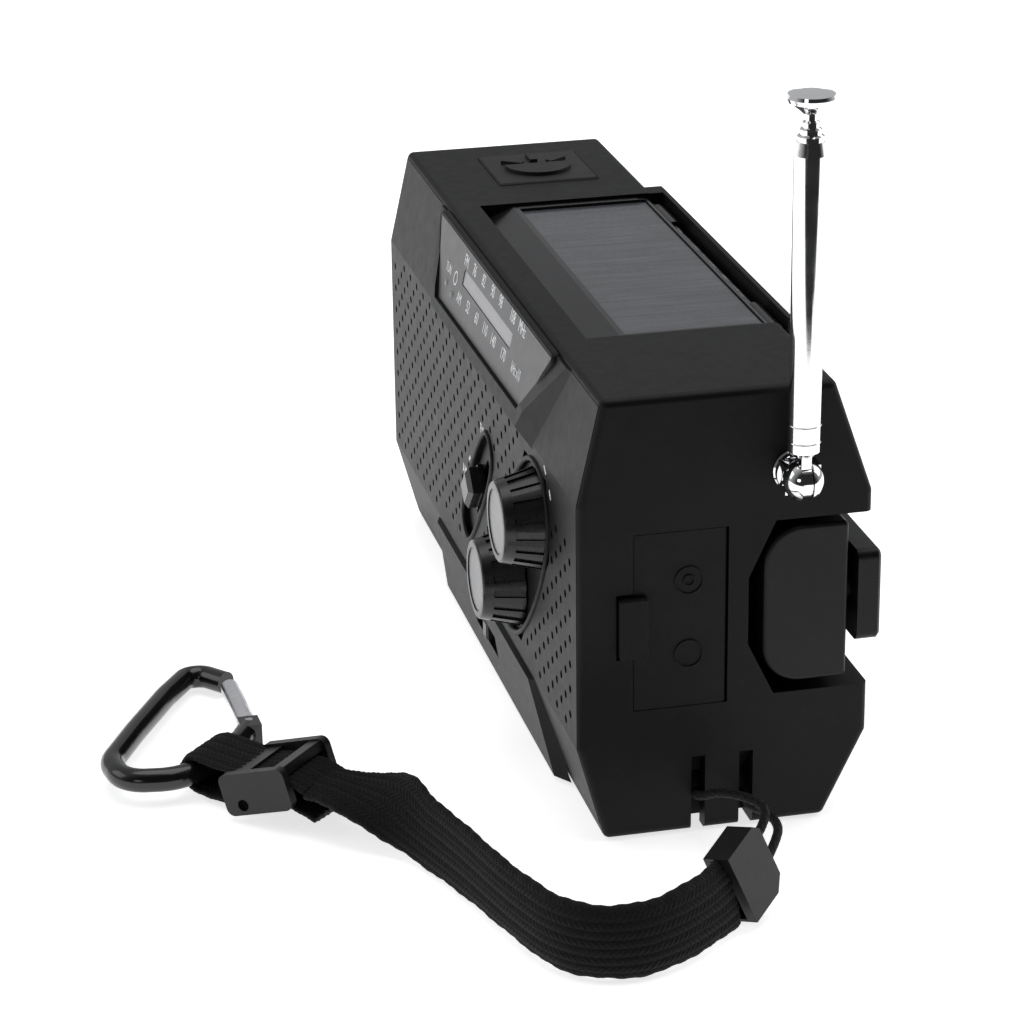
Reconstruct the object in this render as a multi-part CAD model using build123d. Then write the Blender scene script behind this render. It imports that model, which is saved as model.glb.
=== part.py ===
from build123d import *
import math
import os

# Hand-crank emergency radio with solar lid, telescopic antenna and a wrist strap.
# Millimetres, +Z up, +X to the end that carries the antenna, -Y is the front with
# the speaker grille, and the origin is the middle of the underside of the housing.

# ---------------------------------------------------------------- driving sizes
LENGTH = 156.0          # housing, end to end
HALF = LENGTH / 2
HEIGHT = 78.8
DEPTH = 50.6
Y_FRONT = -DEPTH / 2
Y_REAR = DEPTH / 2
WALL = 2.2
PANEL_T = 2.0
Z_CREASE_UP = 60.6      # front face starts to lean back above this
Z_CREASE_LOW = 17.0     # and under this
GAP = 0.15
# knobs
VOL_X, VOL_Z = 48.5, 47.8
TUN_X, TUN_Z = 30.9, 30.0
KNOB_R, KNOB_TIP_R, KNOB_FACE_Y = 9.0, 7.0, -32.3
# solar lid
LID_X0, LID_X1, LID_Y0, LID_Y1 = -35.6, 46.6, -15.7, 20.7
# antenna
ANT_Y, ANT_Z, ANT_X = 11.4, 64.0, 83.0
ANT_BOT, ANT_TOP = 68.4, 120.9
# crank
HUB_X, HUB_Z, HINGE_X, HINGE_Y = 0.0, 39.7, 9.0, 26.8
ARM_Y0, ARM_Y1 = 23.3, 27.4
ARM_W = 16.4
GRIP_PIN_X = 70.0
# strap
WEB_W = 12.0
WEB_T = 1.6
CORD_D = 1.6


# ---------------------------------------------------------------- helpers
def box(x0, x1, y0, y1, z0, z1):
    return Pos((x0 + x1) / 2, (y0 + y1) / 2, (z0 + z1) / 2) * Box(x1 - x0, y1 - y0, z1 - z0)


def cyl_x(y, z, r, x0, x1):
    return Pos((x0 + x1) / 2, y, z) * Rot(0, 90, 0) * Cylinder(r, x1 - x0)


def cyl_y(x, z, r, y0, y1):
    return Pos(x, (y0 + y1) / 2, z) * Rot(90, 0, 0) * Cylinder(r, y1 - y0)


def cyl_z(x, y, r, z0, z1):
    return Pos(x, y, (z0 + z1) / 2) * Cylinder(r, z1 - z0)


def cone_y(x, z, r0, r1, y0, y1):
    """Frustum along Y with radius r0 at y0 and r1 at y1."""
    return Pos(x, (y0 + y1) / 2, z) * Rot(-90, 0, 0) * Cone(r0, r1, y1 - y0)


def prism(pts, plane, depth):
    """A polygon drawn on a plane and pushed along the plane's normal."""
    face = Face(Wire.make_polygon([plane.from_local_coords((p[0], p[1], 0)) for p in pts], close=True))
    return Solid.extrude(face, plane.z_dir * depth)


def prism_x(yz, x0, x1):
    face = Face(Wire.make_polygon([Vector(x0, p[0], p[1]) for p in yz], close=True))
    return Solid.extrude(face, Vector(x1 - x0, 0, 0))


def prism_y(xz, y0, y1):
    face = Face(Wire.make_polygon([Vector(p[0], y0, p[1]) for p in xz], close=True))
    return Solid.extrude(face, Vector(0, y1 - y0, 0))


def prism_z(xy, z0, z1):
    face = Face(Wire.make_polygon([Vector(p[0], p[1], z0) for p in xy], close=True))
    return Solid.extrude(face, Vector(0, 0, z1 - z0))


def offset_poly(pts, d):
    """Moves each edge of a convex polygon inwards by d (counter-clockwise or clockwise)."""
    n = len(pts)
    cx = sum(p[0] for p in pts) / n
    cy = sum(p[1] for p in pts) / n
    lines = []
    for i in range(n):
        (x0, y0), (x1, y1) = pts[i], pts[(i + 1) % n]
        nx, ny = y1 - y0, x0 - x1
        k = math.hypot(nx, ny)
        nx, ny = nx / k, ny / k
        if (cx - x0) * nx + (cy - y0) * ny < 0:
            nx, ny = -nx, -ny
        lines.append((nx, ny, nx * x0 + ny * y0 + d))
    out = []
    for i in range(n):
        a1, b1, c1 = lines[i - 1]
        a2, b2, c2 = lines[i]
        det = a1 * b2 - a2 * b1
        out.append(((c1 * b2 - c2 * b1) / det, (a1 * c2 - a2 * c1) / det))
    return out


parts = {}


def put(name, shape):
    parts[name] = shape


# ---------------------------------------------------------------- housing section (Y, Z)
SECTION = [(-21.2, HEIGHT), (Y_FRONT, Z_CREASE_UP), (Y_FRONT, Z_CREASE_LOW), (-20.6, 0.0),
           (17.9, 0.0), (Y_REAR, 15.2), (Y_REAR, 59.0), (18.4, HEIGHT)]
# the plane of the leaning strip over the front, with local y going up the slope
SLOPE = Plane(origin=(0, Y_FRONT, Z_CREASE_UP), x_dir=(1, 0, 0), z_dir=(0, -(HEIGHT - Z_CREASE_UP), 4.1))

# ---------------------------------------------------------------- front panel volume
inner = offset_poly(SECTION, PANEL_T)
Z_SEAM_TOP, Z_SEAM_LOW = 77.6, 3.0


def on_edge(p, q, z):
    k = (z - p[1]) / (q[1] - p[1])
    return (p[0] + k * (q[0] - p[0]), z)


band_yz = [on_edge(SECTION[0], SECTION[1], Z_SEAM_TOP), SECTION[1], SECTION[2],
           on_edge(SECTION[2], SECTION[3], Z_SEAM_LOW), on_edge(inner[2], inner[3], Z_SEAM_LOW),
           inner[2], inner[1], on_edge(inner[0], inner[1], Z_SEAM_TOP)]

# ---------------------------------------------------------------- main shell
shell = prism_x(SECTION, -HALF, HALF)
shell = fillet(shell.edges(), 1.3)
# seats for the four rubber pads, flush with the base
PADS = [(x, y) for x in (-66.0, 63.0) for y in (-15.0, 13.0)]
for x, y in PADS:
    shell = shell - box(x - 5.1, x + 5.1, y - 2.6, y + 2.6, -1.0, 0.85)
# ridge behind the lid, where its hinge pin runs
ridge = prism_x([(17.0, HEIGHT - 0.1), (21.6, HEIGHT - 0.1), (22.5, HEIGHT - 1.0), (24.6, 70.0), (17.0, 70.0)], -40.0, 44.5)
ridge = fillet(ridge.edges().filter_by(Axis.X).sort_by(Axis.Z)[-2:], 0.5)
shell = shell + ridge
cavity = prism_x(offset_poly(SECTION, WALL), -HALF + WALL, HALF - WALL)
# walls that stand inside the hollow: lid tray, grip pocket, crank channel, strap bar, port recess, torch seat
TRAY_Z = 68.6
PK_X0, PK_Y0, PK_Z0, PK_Z1 = 61.4, 4.0, 24.0, 55.3
pocket_yz = [(PK_Y0, 33.5), (8.6, PK_Z0), (30.0, PK_Z0), (30.0, PK_Z1), (8.6, PK_Z1), (PK_Y0, 45.5)]
pocket_big = [(PK_Y0 - 1.8, 32.8), (7.6, PK_Z0 - 1.8), (30.0, PK_Z0 - 1.8), (30.0, PK_Z1 + 1.8), (7.6, PK_Z1 + 1.8), (PK_Y0 - 1.8, 46.2)]
solid_in = (box(LID_X0 - 1.8, LID_X1 + 1.8, LID_Y0 - 1.8, LID_Y1 + 6, TRAY_Z - 1.8, HEIGHT)
            + prism_x(pocket_big, PK_X0 - 1.8, HALF)
            + box(-20, PK_X0, 21.2, Y_REAR, 20.5, 58.9)
            + box(70.5, HALF, -18.5, 3.0, 21.4, 57.2)
            + box(70.0, HALF, -6.6, 7.6, 0, 17.0)
            + cyl_x(ANT_Y, ANT_Z, 5.6, 70.0, HALF)
            + cyl_x(-2.0, 40.0, 22.0, -HALF, -66.0))
cavity = cavity - solid_in
shell = shell - cavity
seat_in = offset_poly(SECTION, PANEL_T + 0.05)
seat_yz = [on_edge(SECTION[0], SECTION[1], Z_SEAM_TOP + GAP), SECTION[1], SECTION[2],
           on_edge(SECTION[2], SECTION[3], Z_SEAM_LOW - GAP), on_edge(seat_in[2], seat_in[3], Z_SEAM_LOW - GAP),
           seat_in[2], seat_in[1], on_edge(seat_in[0], seat_in[1], Z_SEAM_TOP + GAP)]
shell = shell - prism_x(seat_yz, -77.0 - GAP, 77.0 + GAP)
# the front opening leaves a narrow seat strip behind the panel's rim
deep = offset_poly(SECTION, 3.2)
open_yz = [on_edge(SECTION[0], SECTION[1], 76.0), SECTION[1], SECTION[2], on_edge(SECTION[2], SECTION[3], 4.6),
           on_edge(deep[2], deep[3], 4.6), deep[2], deep[1], on_edge(deep[0], deep[1], 76.0)]
shell = shell - prism_x(open_yz, -75.8, 75.8)
# lid recess
recess = prism_z([(LID_X0, LID_Y0), (LID_X1, LID_Y0), (LID_X1, LID_Y1), (LID_X0, LID_Y1)], TRAY_Z, HEIGHT + 1)
shell = shell - recess
# grip pocket, open to the end and the rear, and the crank channel
shell = shell - prism_x(pocket_yz, PK_X0, HALF + 2)
shell = shell - box(PK_X0 - 3, HALF + 2, 22.9, 30, PK_Z0, PK_Z1)
shell = shell - box(0, PK_X0 + 1, 22.9, 30, HUB_Z - 9.2, HUB_Z + 9.2)
shell = shell - cyl_y(HUB_X, HUB_Z, 17.4, 22.9, 30)
shell = shell - cyl_y(HUB_X, HUB_Z, 4.1, 15, 30)
# port recess with its door rebate
PORT_Y0, PORT_Y1, PORT_Z0, PORT_Z1 = -15.8, 0.5, 23.4, 55.1
shell = shell - box(76.3, HALF + 1, PORT_Y0, PORT_Y1, PORT_Z0, PORT_Z1)
shell = shell - box(72.0, 77, PORT_Y0 + 1.6, PORT_Y1 - 3.0, PORT_Z0 + 1.6, PORT_Z1 - 1.6)
shell = shell - box(68.0, 72.5, -13.5, -5.1, 38.9, 53.5) - box(68.0, 72.5, -11.7, -6.3, 27.2, 37.0)
shell = shell - box(76.0, HALF + 1, PORT_Y0 - 2.9, PORT_Y0 + 2.5, 33.0, 44.6)
# strap eyelet: two upright slots in the foot of the end, joined behind the bar between them
scoop = prism_y([(72.0, -1.0), (79.0, -1.0), (79.0, 13.0), (77.6, 14.2), (72.0, 8.4)], -5.6, 5.2)
post = box(74.8, 79.0, -3.2, 2.8, -2, 16)
shell = shell - (scoop - post)
# antenna mount bore
shell = shell - cyl_x(ANT_Y, ANT_Z, 3.7, 74.0, HALF + 1)
shell = shell - cyl_x(ANT_Y, ANT_Z, 2.1, 66.0, HALF + 1)
# reading lamp tray opening for the diffuser leads, lamp button opening
shell = shell - box(-12, 24, -9, 13, TRAY_Z - 3, TRAY_Z + 0.1)
BTN_X0, BTN_X1, BTN_Y0, BTN_Y1 = -68.6, -48.0, -8.9, 11.2
shell = shell - box(BTN_X0, BTN_X1, BTN_Y0, BTN_Y1, HEIGHT - 3.5, HEIGHT + 1)
# torch seat in the far end
TORCH_Y, TORCH_Z = -2.0, 40.0
shell = shell - cyl_x(TORCH_Y, TORCH_Z, 19.0, -HALF - 1, -74.5)
shell = shell - cyl_x(TORCH_Y, TORCH_Z, 16.4, -HALF - 1, -60)
# lid hinge pin bore along the ridge
LID_PIN_Y, LID_PIN_Z = 18.6, 75.6
shell = shell - cyl_x(LID_PIN_Y, LID_PIN_Z, 1.05, -38.6, 49.6)
# generator and speaker screw bosses that carry the front panel
for bx, bz in ((-71.0, 65.0), (66.0, 66.5), (-71.0, 14.5), (66.0, 14.5)):
    boss = cyl_y(bx, bz, 3.2, -20.8, 14.0) - cyl_y(bx, bz, 1.15, -21.0, -8.0)
    shell = shell + (boss & prism_x(offset_poly(SECTION, 0.6), -HALF + 0.6, HALF - 0.6))
shell = max(shell.solids(), key=lambda s: s.volume)
put("main_shell", shell)

# ---------------------------------------------------------------- front panel
panel = prism_x(band_yz, -77.0, 77.0)
# raised dial surround on the slope
def slope_quad(tl, tr, br, bl, off):
    return Face(Wire.make_polygon([SLOPE.from_local_coords((p[0], p[1], off)) for p in (tl, tr, br, bl)], close=True))


block = Solid.make_loft([slope_quad((-42.6, 17.5), (61.0, 17.5), (47.6, -1.0), (-34.2, -1.0), -0.4).outer_wire(),
                         slope_quad((-38.9, 17.5), (52.6, 17.5), (41.0, 1.0), (-29.2, 1.0), 2.0).outer_wire()], ruled=True)
panel = panel + block
# tilt its face so that it dies into the top edge
panel = panel - prism_x([(-30.0, 55.0), (-28.2, 60.0), (-21.9, 78.0), (-21.9, 82.0), (-32.0, 82.0)], -70, 70)
# chin on the lower slope
chin = Solid.make_loft([
    Wire.make_polygon([Vector(-37.6, Y_FRONT + 1.4, 16.4), Vector(47.6, Y_FRONT + 1.4, 16.4), Vector(58.4, -19.8, 0.6), Vector(-54.5, -19.8, 0.6)], close=True),
    Wire.make_polygon([Vector(-33.0, Y_FRONT - 0.55, 15.6), Vector(44.0, Y_FRONT - 0.55, 15.6), Vector(53.0, -23.4, 0.6), Vector(-36.0, -23.4, 0.6)], close=True)], ruled=True)
chin = chin - prism_x([(-21.75, Z_SEAM_LOW + GAP), (-20.85, -0.3), (-15, -0.3), (-15, Z_SEAM_LOW + GAP)], -80, 80)
chin = chin - prism_x([inner[2], inner[3], (-10, 3.0), (-10, 17.0)], -80, 80)
panel = panel + chin
panel = panel - box(-80, 80, -30, -10, -5, 0.5)
# dial plate seat and the slot that the pointer runs in
PLATE = [(-37.6, 17.0), (51.2, 17.0), (39.6, 3.7), (-27.6, 3.0)]
panel = panel - prism(PLATE, SLOPE.offset(0.35), 3.0)
panel = panel - prism([(-15.8, 8.4), (30.2, 8.4), (30.2, 14.6), (-15.8, 14.6)], SLOPE.offset(-3.0), 6.0)
# knob well, switch well and the chin switch window
WELL = [(41.0, 57.6), (56.6, 57.6), (58.4, 43.6), (36.8, 19.8), (21.4, 19.8), (19.8, 33.8)]
panel = panel - prism_y(WELL, Y_FRONT - 1, Y_FRONT + 0.7)
SW_WELL = [(8.6, 49.4), (13.6, 49.4), (16.2, 44.6), (-3.2, 23.4), (-8.2, 23.4), (-10.6, 28.6)]
panel = panel - prism_y(SW_WELL, Y_FRONT - 1, Y_FRONT + 0.9)
panel = panel - cyl_y(VOL_X, VOL_Z, 3.7, -28, -20)
panel = panel - cyl_y(TUN_X, TUN_Z, 3.7, -28, -20)
S45 = math.sqrt(0.5)


def along45(cx, cz, half, wide):
    u, v = (S45, S45), (S45, -S45)
    return [(cx + a * half * u[0] + b * wide * v[0], cz + a * half * u[1] + b * wide * v[1])
            for a, b in ((1, 1), (1, -1), (-1, -1), (-1, 1))]


SW_X, SW_Z = 2.8, 36.4
panel = panel - prism_y(along45(SW_X, SW_Z, 8.6, 1.7), -28, -20)
MODE_X, MODE_Z = 5.0, 8.6
panel = panel - box(MODE_X - 9.0, MODE_X + 9.0, -30, -22.9, MODE_Z - 2.2, MODE_Z + 2.2)
panel = panel - box(MODE_X - 5.2, MODE_X + 5.2, -30, -20, MODE_Z - 1.2, MODE_Z + 1.2)
# perforated grille
holes = []
pitch_x, pitch_z, hole_r = 3.1, 4.6, 0.72


def inside(poly, x, z, grow):
    ok = True
    n = len(poly)
    cx = sum(p[0] for p in poly) / n
    cz = sum(p[1] for p in poly) / n
    for i in range(n):
        (x0, z0), (x1, z1) = poly[i], poly[(i + 1) % n]
        nx, nz = z1 - z0, x0 - x1
        k = math.hypot(nx, nz)
        if (cx - x0) * nx + (cz - z0) * nz < 0:
            nx, nz = -nx, -nz
        if ((x - x0) * nx + (z - z0) * nz) / k < -grow:
            ok = False
    return ok


col = 0
x = -73.0
while x <= 73.2:
    z = 19.4 + (pitch_z / 2 if col % 2 else 0.0)
    while z <= 58.6:
        hidden = (inside(WELL, x, z, 1.9) or inside(SW_WELL, x, z, 1.9)
                  or (-12.5 < x < 9.0 and abs((z - 40.5) - (x - 2.0)) < 0.0)
                  or (x > 47.5 and z > 52.0) or (x > 50 and z > 58.0)
                  or (-32.0 < x < 45.5 and z < 19.6)
                  or (x < -66.0 and z > 57.0) or (36.0 < x < 52.0 and z > 56.4))
        if not hidden:
            holes.append(cyl_y(x, z, hole_r, -28.0, -22.0).solid())
        z += pitch_z
    x += pitch_x
    col += 1
print("grille holes", len(holes))
panel = panel.cut(*holes)
panel = max(panel.solids(), key=lambda s: s.volume)
put("front_panel", panel)
pads = None
for x, y in PADS:
    pad = box(x - 5.0, x + 5.0, y - 2.5, y + 2.5, 0.0, 0.85)
    pads = pad if pads is None else pads + pad
put("base_pads", pads)

# ---------------------------------------------------------------- dial
plate_in = offset_poly(PLATE, GAP)
plate = prism(plate_in, SLOPE.offset(0.4), 0.85)
slot = [(-13.0, 10.1), (25.8, 10.1), (25.8, 13.0), (-13.0, 13.0)]
plate = plate - prism(slot, SLOPE.offset(-1), 4)
put("dial_plate", plate)
lens = prism(offset_poly(slot, 0.08), SLOPE.offset(0.55), 0.55)
put("dial_lens", lens)
PTR = -6.8
pointer = (prism([(PTR - 0.6, 9.8), (PTR + 0.6, 9.8), (PTR + 0.6, 13.2), (PTR - 0.6, 13.2)], SLOPE.offset(-0.35), 0.6)
           + prism([(PTR - 0.5, 10.6), (PTR + 0.5, 10.6), (PTR + 0.5, 12.3), (PTR - 0.5, 12.3)], SLOPE.offset(-3.2), 3.0)
           + prism([(PTR - 3.5, 9.0), (PTR + 3.5, 9.0), (PTR + 3.5, 14.0), (PTR - 3.5, 14.0)], SLOPE.offset(-4.2), 1.2))
pointer = pointer - prism([(PTR - 4, 11.1), (PTR + 4, 11.1), (PTR + 4, 11.9), (PTR - 4, 11.9)], SLOPE.offset(-4.05), 0.6)
put("dial_pointer", pointer)


# ---------------------------------------------------------------- knobs
def knob(cx, cz, name):
    body = cone_y(cx, cz, KNOB_TIP_R, KNOB_R, KNOB_FACE_Y, Y_FRONT + 0.55 - 0.2)
    body = fillet(body.edges().sort_by(Axis.Y)[0], 0.5)
    n = 18
    cuts = []
    for i in range(n):
        a = 2 * math.pi * i / n
        groove = Pos(cx, -28.6, cz) * Rot(0, -math.degrees(a), 0) * Pos((KNOB_R + KNOB_TIP_R) / 2 + 0.12, 0, 0) * Rot(0, 0, -15.5) * Box(1.0, 9.5, 1.5)
        cuts.append(groove.solid())
    cuts = [c & box(cx - 12, cx + 12, KNOB_FACE_Y + 1.9, -20, cz - 12, cz + 12) for c in cuts]
    body = body.cut(*[s for c in cuts for s in c.solids()])
    body = body - cyl_y(cx, cz, KNOB_TIP_R - 1.25, KNOB_FACE_Y - 1, KNOB_FACE_Y + 0.9)
    shaft_sleeve = cyl_y(cx, cz, 3.4, -25.5, -21.2)
    body = body + shaft_sleeve
    body = body - (cyl_y(cx, cz, 1.5, -29.5, -20) - box(cx - 3, cx + 3, -30, -20, cz + 0.8, cz + 3))
    put(name, body.solid() if hasattr(body, "solid") else body)
    cap = cyl_y(cx, cz, KNOB_TIP_R - 1.3, KNOB_FACE_Y + 0.25, KNOB_FACE_Y + 0.9)
    put(name + "_cap", cap)


knob(VOL_X, VOL_Z, "volume_knob")
knob(TUN_X, TUN_Z, "tuning_knob")


def control(cx, cz, w, h, d, name):
    """A potentiometer or tuning capacitor: case, collar and D shaft."""
    case = box(cx - w / 2, cx + w / 2, -18.6, -18.6 + d, cz - h / 2, cz + h / 2)
    case = chamfer(case.edges().filter_by(Axis.Y), 1.2)
    put(name, case)
    collar = cyl_y(cx, cz, 3.0, -20.6, -18.6)
    shaft = cyl_y(cx, cz, 1.45, -29.2, -20.6) - box(cx - 3, cx + 3, -30, -20, cz + 0.7, cz + 3)
    put(name + "_shaft", collar + shaft)


control(VOL_X, VOL_Z, 14, 14, 6.5, "volume_pot")
control(TUN_X, TUN_Z, 16, 16, 8, "tuning_capacitor")

# ---------------------------------------------------------------- band switch and lamp mode switch
slider_base = prism_y(along45(SW_X, SW_Z, 3.5, 3.0), Y_FRONT + 0.8, Y_FRONT - 0.2)
slider_stem = prism_y(along45(SW_X, SW_Z, 1.6, 1.2), -25.0, -20.2)
grip45 = prism_y(along45(SW_X, SW_Z, 3.3, 2.7), Y_FRONT - 0.2, Y_FRONT - 2.6)
grip45 = chamfer(grip45.faces().sort_by(Axis.Y)[0].edges(), 0.8)
put("band_slider", slider_base + slider_stem + grip45)
sw_case = prism_y(along45(SW_X, SW_Z, 7.5, 3.5), -19.6, -15.6) - prism_y(along45(SW_X, SW_Z, 6.4, 1.5), -21, -17.4)
put("band_switch", sw_case)
mode = box(MODE_X - 1.6, MODE_X + 1.6, -25.0, -23.0, MODE_Z - 1.75, MODE_Z + 1.75)
mode = chamfer(mode.faces().sort_by(Axis.Y)[0].edges(), 0.4)
mode = mode + box(MODE_X - 1.0, MODE_X + 1.0, -23.1, -18.7, MODE_Z - 0.9, MODE_Z + 0.9)
put("mode_slider", mode)

# ---------------------------------------------------------------- lamp button
bp = 0.15
btn = box(BTN_X0 + bp, BTN_X1 - bp, BTN_Y0 + bp, BTN_Y1 - bp, HEIGHT - 1.5, HEIGHT + 0.35)
btn = chamfer(btn.faces().sort_by(Axis.Z)[-1].edges(), 0.3)
bcx, bcy = (BTN_X0 + BTN_X1) / 2, (BTN_Y0 + BTN_Y1) / 2
dome = (cyl_z(bcx, bcy, 6.6, HEIGHT + 0.3, HEIGHT + 1.1) - box(bcx - 8, bcx - 0.4, bcy - 8, bcy + 8, HEIGHT, HEIGHT + 2))
btn = btn + dome
for ang in (125, 180, 235):
    ray = Pos(bcx + 5.4 * math.cos(math.radians(ang)), bcy + 5.4 * math.sin(math.radians(ang)), HEIGHT + 0.65) * Rot(0, 0, ang) * Box(4.4, 1.5, 0.8)
    btn = btn + ray
btn = btn + cyl_z(bcx, bcy, 1.5, HEIGHT - 2.4, HEIGHT - 1.4)
put("lamp_button", btn)
tact = box(bcx - 3, bcx + 3, bcy - 3, bcy + 3, HEIGHT - 9.5, HEIGHT - 5.0) + cyl_z(bcx, bcy, 1.6, HEIGHT - 5.0, HEIGHT - 3.7)
put("lamp_switch", tact)

# ---------------------------------------------------------------- solar lid
lz0, lz1 = 72.6, 78.3
lx0, lx1, ly0, ly1 = LID_X0 + 0.6, LID_X1 - 0.5, LID_Y0 + 1.0, 20.0
lid = prism_x([(ly0, lz0), (ly0, 76.2), (-9.4, lz1), (15.0, lz1), (17.2, 78.0), (17.4, 77.9), (17.4, lz0)], lx0, lx1)
lid = lid - box(lx0 + 1.6, lx1 - 1.6, -8.4, 16.6, 77.1, 80)
lid = lid - box(lx0 + 1.6, lx1 - 1.6, ly0 + 1.6, 15.4, 71, 74.6)
lug = cyl_x(LID_PIN_Y, LID_PIN_Z, 1.9, lx0 + 3, lx0 + 15) + box(lx0 + 3, lx0 + 15, 16.5, LID_PIN_Y, LID_PIN_Z - 1.9, LID_PIN_Z + 1.0)
lug2 = cyl_x(LID_PIN_Y, LID_PIN_Z, 1.9, lx1 - 15, lx1 - 3) + box(lx1 - 15, lx1 - 3, 16.5, LID_PIN_Y, LID_PIN_Z - 1.9, LID_PIN_Z + 1.0)
lid = lid + lug + lug2
lid = lid - cyl_x(LID_PIN_Y, LID_PIN_Z, 1.06, -60, 60)
put("solar_lid", lid)
put("solar_cell", box(lx0 + 1.75, lx1 - 1.75, -8.25, 16.45, 77.1, 77.75))
put("lid_hinge_pin", cyl_x(LID_PIN_Y, LID_PIN_Z, 1.0, -38.2, 49.2))
lamp_board = box(-14, 26, -11, 14.6, TRAY_Z, TRAY_Z + 1.2)
diff = box(-13, 25, -10, 13.6, TRAY_Z + 1.2, TRAY_Z + 3.0)
diff = chamfer(diff.faces().sort_by(Axis.Z)[-1].edges(), 0.8)
diff = diff - box(-11.5, 23.5, -8.5, 12.1, TRAY_Z + 1.0, TRAY_Z + 2.0)
put("reading_lamp_diffuser", diff)

# ---------------------------------------------------------------- port door and sockets
d0 = 0.12
DOOR_X, DOOR_Y, DOOR_R = 77.15, -0.4, 0.75      # the bead that the rubber door turns on
door = box(76.4, HALF - 0.05, PORT_Y0 + d0, DOOR_Y, PORT_Z0 + d0, PORT_Z1 - d0)
door = door + cyl_z(DOOR_X, DOOR_Y, DOOR_R, PORT_Z0 + d0, PORT_Z1 - d0)
tab = box(76.6, HALF + 1.3, PORT_Y0 - 2.6, PORT_Y0 + 2.4, 33.4, 44.2)
tab = fillet(tab.edges().filter_by(Axis.X), 0.6)
tab = chamfer(tab.faces().sort_by(Axis.X)[-1].edges(), 0.35)
door = door + tab
plug_usb = box(74.3, 76.5, -11.2, -7.4, 41.0, 51.4)
plug_dc = box(74.3, 76.5, -10.2, -7.8, 28.8, 35.4)
door = door + plug_usb + plug_dc
put("port_door", door)
usb = box(62.6, 73.6, -13.4, -5.2, 39.0, 53.4) - box(63.6, 74, -11.9, -6.7, 39.95, 52.45)
put("usb_socket", usb)
dc = box(67.0, 73.6, -11.6, -6.4, 27.3, 36.9) - box(68.5, 74, -10.3, -7.7, 28.3, 35.9)
put("charge_socket", dc)

# ---------------------------------------------------------------- antenna
mount = cyl_x(ANT_Y, ANT_Z, 3.6, 74.2, HALF + 0.5)
mount = chamfer(mount.edges().sort_by(Axis.X)[-1], 0.3) - cyl_x(ANT_Y, ANT_Z, 1.75, 70, 80)
put("antenna_mount", mount)
knuckle = cyl_x(ANT_Y, ANT_Z, 1.7, 68.6, 79.0) + cyl_x(ANT_Y, ANT_Z, 3.4, HALF + 0.6, HALF + 1.7)
knuckle = knuckle + cyl_x(ANT_Y, ANT_Z, 2.7, 68.4, 69.85)
fork = Pos(ANT_X, ANT_Y, ANT_Z) * Sphere(3.5) + box(HALF + 1.0, ANT_X, ANT_Y - 3.0, ANT_Y + 3.0, ANT_Z - 2.4, ANT_Z + 2.4)
fork = fork - box(HALF + 1.75, ANT_X + 5, ANT_Y - 0.95, ANT_Y + 0.95, ANT_Z - 6, ANT_Z + 6)
fork = fork - cyl_y(ANT_X, ANT_Z, 0.82, ANT_Y - 9, ANT_Y + 9)
put("antenna_knuckle", knuckle + fork + cyl_y(ANT_X, ANT_Z, 0.82, ANT_Y - 3.3, ANT_Y + 3.3))
tang = box(ANT_X - 1.6, ANT_X + 1.6, ANT_Y - 0.85, ANT_Y + 0.85, ANT_Z, ANT_BOT + 1)
tang = tang + cyl_y(ANT_X, ANT_Z, 2.9, ANT_Y - 0.85, ANT_Y + 0.85)
tang = tang - cyl_y(ANT_X, ANT_Z, 0.88, ANT_Y - 9, ANT_Y + 9)
radii = [2.65, 2.2, 1.8, 1.4, 1.0]
tube1 = cyl_z(ANT_X, ANT_Y, radii[0], ANT_BOT, ANT_TOP)
tube1 = chamfer(tube1.edges().sort_by(Axis.Z)[0], 0.8)
tube1 = chamfer(tube1.edges().sort_by(Axis.Z)[-1], 2.2, 0.38)
tube1 = tube1 - cyl_z(ANT_X, ANT_Y, radii[1] + 0.05, ANT_BOT + 2.4, ANT_TOP + 1)
tube1 = tube1 + tang
put("antenna_tube_1", tube1)
tops = [0, ANT_TOP + 1.1, ANT_TOP + 2.2, ANT_TOP + 3.3]
for i in (1, 2, 3):
    foot = ANT_BOT + 2.6 + 0.5 * (i - 1)
    t = cyl_z(ANT_X, ANT_Y, radii[i], foot, tops[i])
    t = chamfer(t.edges().sort_by(Axis.Z)[-1], 0.25)
    t = t - cyl_z(ANT_X, ANT_Y, radii[i + 1] + 0.05, foot + 0.4, tops[i] + 1)
    put(f"antenna_tube_{i + 1}", t)
tip_z = 125.4
tube5 = cyl_z(ANT_X, ANT_Y, radii[4], ANT_BOT + 4.2, tip_z + 0.5)
prof = [(0, 0), (1.4, 0), (2.1, 0.6), (3.6, 1.7), (3.95, 2.5), (3.8, 3.1), (2.2, 3.45), (0, 3.55)]
tipf = Face(Wire.make_polygon([Vector(ANT_X + p[0], ANT_Y, tip_z + p[1]) for p in prof], close=True))
tipr = revolve(tipf, Axis((ANT_X, ANT_Y, 0), (0, 0, 1)), 360)
put("antenna_tube_5", tube5 + tipr)

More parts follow.
